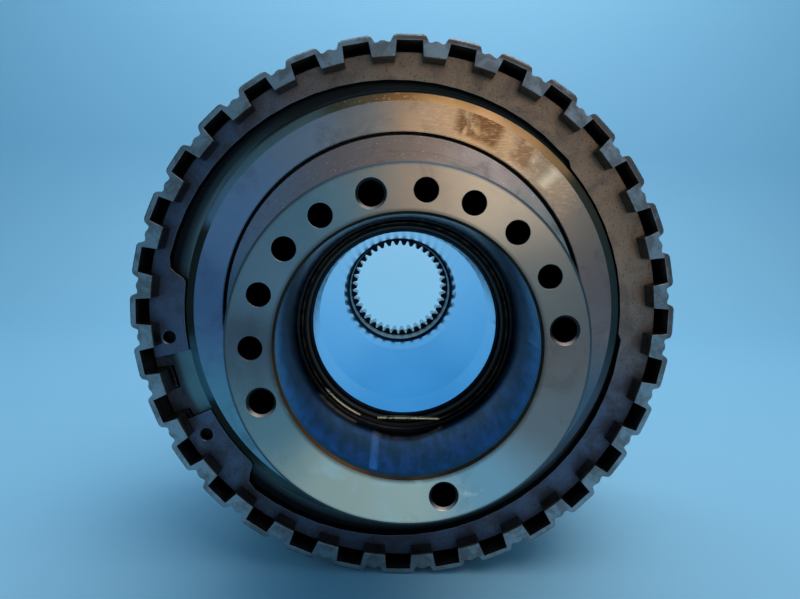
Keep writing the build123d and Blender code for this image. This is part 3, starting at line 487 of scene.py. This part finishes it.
def hub_steel(name):
    """The hub: a fine turned nose face, a dark blue oily bore, and a tube behind it painted with
    the blue that it mirrors, a painted reflection.
    """
    m = Shader(name)
    lines = m.turned(0.9)
    cloud = m.noise(0.05, 5.0, 0.62, warp=0.7)
    grit = m.noise(1.2, 3.0, 0.6)
    streak = m.noise(1.0, 5.0, 0.65, at=m.vector(m.turn * 0.22, m.y * 0.05, m.r * 0.05))
    outside_mouth = (MOUTH_R - 0.02, MOUTH_R + 0.02)
    face = m.y.ease(NOSE_FACE_Y + 0.15, NOSE_FACE_Y + 0.03) * m.r.ease(*outside_mouth)
    mouth = m.y.ease(MOUTH_Y + 0.2, MOUTH_Y - 0.05) * m.r.ease(*reversed(outside_mouth))
    holes = m.y.ease(NOSE_FACE_Y + 0.03, NOSE_FACE_Y + 0.15) * m.r.band(*HOLES_R, 0.2)
    bore = m.y.band(MOUTH_Y, 1.0, 0.1) * m.within(NOSE_BORE_WITHIN_R)
    tube = m.y.band(SEAT_Y[1], TUBE_STEP_Y - 0.2, 0.2) * m.within(TUBE_WITHIN_R)

    nose = m.by_angle(NOSE_COLOURS)
    nose = m.mix(nose, (0.10, 0.085, 0.065), cloud.ease(0.52, 0.74) * 0.30)
    pale = m.sector(268.0, 30.0, 8.0) * m.noise(0.09, 4.0, 0.55, warp=0.5).ease(0.52, 0.66)
    nose = m.mix(nose, (1.00, 0.82, 0.68), pale * 0.7)
    stained = m.r.ease(46.8, MOUTH_R) * m.sector(265.0, 75.0, 30.0) * cloud.ease(0.28, 0.48)
    nose = m.mix(nose, (0.10, 0.060, 0.036), stained * 0.75)
    halo = m.r.ease(46.4, MOUTH_R) * m.sector(85.0, 75.0, 30.0)
    nose = m.mix(nose, (0.06, 0.05, 0.045), halo * 0.6)
    nose = m.mix(nose, (0.20, 0.21, 0.22), m.r.ease(NOSE_EDGE_R - 0.8, NOSE_EDGE_R) * 0.4)
    shade = m.mix((0.40, 0.41, 0.41), (0.32, 0.33, 0.34), lines.ease(0.35, 0.70))
    shade = m.mix(shade, nose, face)
    chamfer = m.y.ease(NOSE_EDGE_Y + 0.4, NOSE_EDGE_Y)
    chamfer = chamfer * m.r.ease(NOSE_EDGE_R - 0.05, NOSE_EDGE_R + 0.05)
    shade = m.mix(shade, (0.10, 0.11, 0.12), chamfer)

    wall = m.mix((0.075, 0.088, 0.22), (0.030, 0.034, 0.072), streak.ease(0.40, 0.60))
    # Darker deeper in the bore towards the seal: oil and painted shade.
    wall = m.mix(wall, (0.016, 0.022, 0.036), m.y.ease(-16.0, -1.0) * 0.8)
    wall = m.mix(wall, OIL, cloud.ease(0.54, 0.70) * 0.5)
    # A lilac streak low in the bore: a painted reflection in the oil.
    painted_lilac_reflection = m.sector(255.5, 0.9, 1.5) * m.y.band(-46.0, -14.0, 8.0) * streak.ease(0.30, 0.50)
    wall = m.mix(wall, (0.36, 0.34, 0.56), painted_lilac_reflection * 0.8)
    front_rust = m.y.ease(-46.0, -48.5) * cloud.ease(0.30, 0.50)
    wall = m.mix(wall, (0.055, 0.032, 0.018), front_rust * 0.85)
    shade = m.mix(shade, wall, bore)

    rust = m.mix((0.060, 0.038, 0.024), (0.030, 0.022, 0.018), cloud.ease(0.40, 0.60))
    rust = m.mix(rust, (0.16, 0.075, 0.030), m.sector(215.0, 22.0, 18.0) * 0.8)
    shade = m.mix(shade, rust, mouth)
    # The countersinks are lighter where they face up and darker where they face down: painted light
    # from above and painted shade.
    countersink = m.mix((0.045, 0.040, 0.040), (0.42, 0.33, 0.30), m.facing_up())
    shade = m.mix(shade, countersink, holes)
    # Near black inside the holes: painted shade.
    shade = m.mix(shade, (0.008, 0.008, 0.010), holes * m.y.ease(-50.25, -49.9))

    # The seal's seat deep in the bore, near black: soot and painted shade.
    seat = m.y.band(*SEAT_Y, 0.3) * m.within(SEAT_WITHIN_R, 0.6)
    shade = m.mix(shade, SOOT, seat * 0.9)
    shade = m.mix(shade, TUBE_BLUE, tube)
    # The tube's step and the front ends of the spline's teeth are near black: painted shade.
    step = m.y.band(TUBE_STEP_Y - 0.2, TUBE_STEP_Y + 0.2, 0.1) * m.within(STEP_WITHIN_R, 0.4)
    tooth_ends = m.y.band(SPLINE_FRONT_Y - 0.2, SPLINE_FRONT_Y + 0.3, 0.1)
    tooth_ends = tooth_ends * m.within(SPLINE_WITHIN_R)
    shade = m.mix(shade, (0.010, 0.016, 0.030), step.either(tooth_ends))
    channel = m.y.band(*CHANNEL_Y, 0.1) * m.within(SPLINE_WITHIN_R)

    shade = m.mix(shade, OIL, grit.ease(0.68, 0.78) * 0.5 * face.flip())
    rubbed = m.edges(0.4) * m.y.ease(-45.0, -40.0)
    shade = m.mix(shade, (0.60, 0.60, 0.58), rubbed * 0.2)
    gloss = lines * 0.06 + cloud * 0.12 + 0.17
    gloss = gloss * (tube * -0.55 + 1.0) * (bore * -0.30 + 1.0)
    matte = holes.either(mouth).either(chamfer) * 0.3 + channel * 0.25
    m.set(Base_Color=shade, Roughness=gloss + matte)
    m.relief(lines, 0.004, 0.25)
    return m


def clutch_hub_steel(name):
    """A turned flange under a thin brown film, with pale lint."""
    m = Shader(name)
    lines = m.turned(1.2)
    film = m.noise(0.07, 5.0, 0.65, warp=0.7)
    lint = m.noise(1.5, 2.0, 0.5).ease(0.68, 0.73)
    shade = m.by_angle(CLUTCH_HUB_COLOURS)
    shade = m.mix(shade, (0.12, 0.075, 0.055), lines.ease(0.45, 0.75) * 0.35)
    shade = m.mix(shade, OIL, film.ease(0.50, 0.72) * 0.35)
    shade = m.mix(shade, (0.80, 0.76, 0.72), lint * m.sector(85.0, 50.0, 20.0) * 0.8)
    shade = m.mix(shade, (0.62, 0.60, 0.58), m.edges(0.4) * 0.5)
    m.set(Base_Color=shade, Roughness=lines * 0.10 + film * 0.18 + 0.18)
    m.relief(lines + lint * 0.6, 0.010, 0.2)
    return m


def lip_seal_rubber(name):
    """Dark fluorocarbon rubber, wet with oil, brown where the oil has dried."""
    m = Shader(name, metallic=0.0, Coat_Weight=0.25, Coat_Roughness=0.25)
    film = m.noise(0.10, 5.0, 0.6, warp=0.7)
    shade = m.mix((0.008, 0.007, 0.007), (0.045, 0.026, 0.013), film.ease(0.46, 0.70))
    m.set(Base_Color=shade, Roughness=film * 0.3 + 0.32)
    m.relief(m.turned(2.0), 0.02, 0.15)
    return m


def wire_steel(name):
    """Spring wire: blackened by oil, with a painted golden highlight on its arc and along its
    straight run.
    """
    m = Shader(name)
    film = m.noise(0.35, 4.0, 0.6)
    # A painted golden highlight on the arc and along the straight run.
    straight_run = m.z.ease(-38.2, -38.6) * m.x.band(-11.0, 14.0, 2.0)
    painted_highlight = m.sector(233.0, 9.0, 5.0).either(straight_run)
    shade = m.mix((0.018, 0.013, 0.011), (0.080, 0.045, 0.022), film.ease(0.42, 0.62))
    shade = m.mix(shade, (0.95, 0.70, 0.40), painted_highlight * film.ease(0.68, 0.50))
    m.set(Base_Color=shade, Roughness=film * 0.25 + 0.22)
    m.relief(film, 0.02)
    return m


def gear_steel(name):
    """Case-hardened gear steel: grey ground flanks with dark heat tint in blotches."""
    m = Shader(name)
    tint = m.noise(0.06, 5.0, 0.6, warp=0.5)
    grind = m.noise(2.2, 4.0, 0.7, at=m.vector(m.x, m.y * 0.08, m.z))
    shade = m.mix((0.34, 0.34, 0.35), (0.21, 0.20, 0.21), grind.ease(0.38, 0.64))
    shade = m.mix(shade, (0.12, 0.085, 0.06), tint.ease(0.52, 0.70) * 0.7)
    shade = m.mix(shade, (0.66, 0.65, 0.63), m.edges(0.5) * 0.7)
    m.set(Base_Color=shade, Roughness=grind * 0.16 + tint * 0.16 + 0.16)
    m.relief(grind, 0.03, 0.2)
    return m


def cast_iron(name, colour):
    """Grey iron with an open grain, browned by oil."""
    m = Shader(name)
    grain = m.noise(1.6, 5.0, 0.75)
    film = m.noise(0.06, 5.0, 0.6, warp=0.6)
    shade = m.mix(colour, tuple(c * 0.5 for c in colour), grain.ease(0.40, 0.62))
    shade = m.mix(shade, OIL, film.ease(0.48, 0.68) * 0.7)
    m.set(Base_Color=shade, Roughness=grain * 0.2 + film * 0.2 + 0.28)
    m.relief(grain, 0.06, 0.3)
    return m


def friction_lining(name):
    """Brown paper facing: fine fibres, darker where it has run hot."""
    m = Shader(name, metallic=0.0)
    fibres = m.noise(1.4, 5.0, 0.75, warp=1.5)
    heat = m.noise(0.05, 4.0, 0.6)
    shade = m.mix((0.18, 0.105, 0.055), (0.085, 0.048, 0.026), fibres.ease(0.38, 0.62))
    shade = m.mix(shade, (0.045, 0.028, 0.018), heat.ease(0.48, 0.66) * 0.7)
    m.set(Base_Color=shade, Roughness=fibres * 0.2 + 0.62)
    m.relief(fibres, 0.08)
    return m


def seal_rubber(name):
    """Black rubber with a faint grey bloom."""
    m = Shader(name, metallic=0.0)
    bloom = m.noise(0.4, 5.0, 0.6)
    shade = m.mix((0.018, 0.018, 0.019), (0.040, 0.038, 0.036), bloom.ease(0.45, 0.65))
    m.set(Base_Color=shade, Roughness=bloom * 0.25 + 0.36)
    m.relief(bloom, 0.03)
    return m


SURFACES = {
    "drum_steel": drum_steel,
    "snap_ring_steel": snap_ring_steel,
    "plate_steel": plate_steel,
    "hub_steel": hub_steel,
    "clutch_hub_steel": clutch_hub_steel,
    "lip_seal_rubber": lip_seal_rubber,
    "wire_steel": wire_steel,
    "gear_steel": gear_steel,
    "friction_lining": friction_lining,
    "seal_rubber": seal_rubber,
}

CAST_IRONS = {"housing_iron": (0.27, 0.27, 0.28), "sealing_iron": (0.20, 0.20, 0.20)}

WORN_METALS = {
    "clutch_plate_steel": {"colour": (0.33, 0.33, 0.34), "dirt": 0.5},
    "disc_steel": {"colour": (0.36, 0.36, 0.37), "dirt": 0.4},
    "piston_aluminium": {
        "colour": (0.60, 0.60, 0.61),
        "dirt": 0.2,
        "marks": 0.6,
        "roughness": 0.36,
        "corner": 0.3,
        "edge": (0.8, 0.8, 0.8),
    },
    "pressed_steel": {"colour": (0.40, 0.40, 0.41), "marks": 0.5},
    "spring_steel": {"colour": (0.17, 0.18, 0.23)},
    "carrier_steel": {"colour": (0.36, 0.36, 0.365), "dirt": 0.55, "marks": 0.7},
    "bolt_steel": {
        "colour": (0.075, 0.075, 0.078),
        "dirt": 0.4,
        "marks": 1.4,
        "roughness": 0.42,
    },
    "pin_steel": {
        "colour": (0.56, 0.56, 0.57),
        "dirt": 0.2,
        "marks": 1.6,
        "roughness": 0.24,
    },
    "roller_steel": {
        "colour": (0.62, 0.62, 0.63),
        "dirt": 0.1,
        "marks": 2.0,
        "roughness": 0.20,
    },
    "bronze": {
        "colour": (0.50, 0.33, 0.15),
        "dirt": 0.35,
        "marks": 1.2,
        "corner": 0.2,
        "edge": (0.72, 0.52, 0.28),
    },
}


def make_material(slot):
    """The material for one of the record's slots."""
    if slot in WORN_METALS:
        return worn_metal(slot, **WORN_METALS[slot]).material
    if slot in CAST_IRONS:
        return cast_iron(slot, CAST_IRONS[slot]).material
    return SURFACES[slot](slot).material


def paint_cad_nodes():
    """Gives every CAD node the material of its slot in the record."""
    materials = {}
    for part in frame["record"]["subparts"]:
        slot = part["material_slot"]
        if slot not in materials:
            materials[slot] = make_material(slot)
        mesh = frame["nodes"][part["node"]].data
        mesh.materials.clear()
        mesh.materials.append(materials[slot])


def make_working_springs():
    """The stack of disc springs as a piece of its own, carried by the drum in place of the CAD
    node.
    """
    node = frame["nodes"]["return_disc_springs"]
    front, back = (corner[1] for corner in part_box("return_disc_springs"))
    joints = frame["record"]["behaviour"]["joints"]
    stroke = next(j for j in joints if j["name"] == "piston_slide")["range_m"][1]
    springs = bpy.data.objects.new("working_disc_springs", node.data.copy())
    bpy.context.scene.collection.objects.link(springs)
    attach(springs, "drum")
    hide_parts("return_disc_springs")
    keep = 1.0 - stroke / (back - front)
    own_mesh(springs)


# ---- surroundings, in metres --------------------------------------------------------------------

FLOOR_COLOUR = (0.36, 0.66, 0.84)
FLOOR_ROUGHNESS = 0.5
FLOOR_HALF_WIDTH = 2.5
FLOOR_FRONT_Y = -1.6
BACKDROP_Y = 1.1
BACKDROP_HEIGHT = 1.9
BACKDROP_BEND = 0.35  # the radius of the bend between the floor and the backdrop
BEND_STEPS = 12

SKY_COLOUR = (0.20, 0.52, 0.80)
SKY_STRENGTH = 0.38

CENTRE = (0.0, 0.0, 0.0)

CAMERA_PLACE = Vector((-5.5, -245.5, 37.4)) * MM
CAMERA_ASIDE = math.radians(0.812)  # the axis is seen this far to the left of the view's middle
CAMERA_ABOVE = math.radians(6.164)  # and runs this much upwards
CAMERA_ROLL = math.radians(-1.25)
SENSOR_WIDTH = 36.0
FOCAL_LENGTH = 27.0


def make_floor():
    """A plain pale floor that the drum stands on, curving up into a backdrop."""
    floor_z = CAD_BOX[0].z
    bend_y, bend_z = BACKDROP_Y - BACKDROP_BEND, floor_z + BACKDROP_BEND
    profile = [(FLOOR_FRONT_Y, floor_z)]
    for k in range(BEND_STEPS + 1):
        a = math.pi / 2 * k / BEND_STEPS
        profile.append(
            (bend_y + BACKDROP_BEND * math.sin(a), bend_z - BACKDROP_BEND * math.cos(a))
        )
    profile.append((BACKDROP_Y, floor_z + BACKDROP_HEIGHT))
    vertices = [(x, y, z) for y, z in profile for x in (-FLOOR_HALF_WIDTH, FLOOR_HALF_WIDTH)]
    faces = [(2 * k, 2 * k + 1, 2 * k + 3, 2 * k + 2) for k in range(len(profile) - 1)]
    mesh = bpy.data.meshes.new("floor")
    mesh.from_pydata(vertices, [], faces)
    for face in mesh.polygons:
        face.use_smooth = True

    material = bpy.data.materials.new("floor")
    material.use_nodes = True
    bsdf = material.node_tree.nodes["Principled BSDF"]
    bsdf.inputs["Base Color"].default_value = rgba(FLOOR_COLOUR)
    bsdf.inputs["Roughness"].default_value = FLOOR_ROUGHNESS
    mesh.materials.append(material)

    floor = bpy.data.objects.new("floor", mesh)
    bpy.context.scene.collection.objects.link(floor)


def make_light(name, place, size, watts, colour, aim=CENTRE):
    """A rectangular soft panel that faces aim."""
    light = bpy.data.lights.new(name, "AREA")
    light.shape = "RECTANGLE"
    light.size, light.size_y = size
    light.energy = watts
    light.color = colour
    lamp = bpy.data.objects.new(name, light)
    lamp.location = place
    lamp.rotation_euler = (Vector(aim) - Vector(place)).to_track_quat("-Z", "Y").to_euler()
    bpy.context.scene.collection.objects.link(lamp)


def make_lights():
    """Large soft panels: warm above on the right, cool on the left, and one behind for the tube."""
    make_light("window", (0.23, -1.25, 0.22), (0.46, 0.36), 0.65, (1.0, 0.86, 0.70))
    make_light("high_right", (0.55, -0.50, 0.95), (0.5, 0.5), 1.0, (1.0, 0.82, 0.60))
    make_light(
        "overhead", (0.35, -0.35, 1.35), (1.4, 1.0), 9.0, (0.95, 0.98, 1.0), aim=(0.1, -0.2, 0.0)
    )
    make_light("left", (-1.10, -0.45, 0.40), (0.6, 0.9), 0.8, (0.40, 0.74, 1.0))
    make_light("right", (1.10, -0.60, -0.02), (0.5, 0.9), 0.3, (1.0, 0.90, 0.88))
    make_light(
        "behind", (0.0, 0.65, 1.1), (1.6, 0.6), 6.0, (0.80, 0.94, 1.0), aim=(0.0, 1.0, 0.1)
    )
    world = bpy.data.worlds.new("world")
    world.use_nodes = True
    background = world.node_tree.nodes["Background"]
    background.inputs["Color"].default_value = rgba(SKY_COLOUR)
    background.inputs["Strength"].default_value = SKY_STRENGTH
    bpy.context.scene.world = world


def make_camera():
    """A wide lens held close in front of the nose, a little above the axis."""
    data = bpy.data.cameras.new("camera")
    data.sensor_width, data.lens = SENSOR_WIDTH, FOCAL_LENGTH
    data.clip_start, data.clip_end = 0.01, 20.0
    # The row's X and Y axes as the camera sees them, with its X to the right and its Y up.
    away = Vector((-math.tan(CAMERA_ASIDE), math.tan(CAMERA_ABOVE), -1.0)).normalized()
    across = (Vector((1.0, 0.0, 0.0)) - away * away.x).normalized()
    turn = Matrix((across, away, across.cross(away))).to_4x4()
    camera = bpy.data.objects.new("camera", data)
    camera.matrix_world = (
        Matrix.Rotation(CAMERA_ROLL, 4, "Y") @ Matrix.Translation(CAMERA_PLACE) @ turn
    )
    bpy.context.scene.collection.objects.link(camera)
    bpy.context.scene.camera = camera


# ---- the scene ----------------------------------------------------------------------------------

make_camera()
make_floor()
make_lights()
paint_cad_nodes()
make_working_springs()
bpy.context.scene.view_settings.view_transform = "Standard"
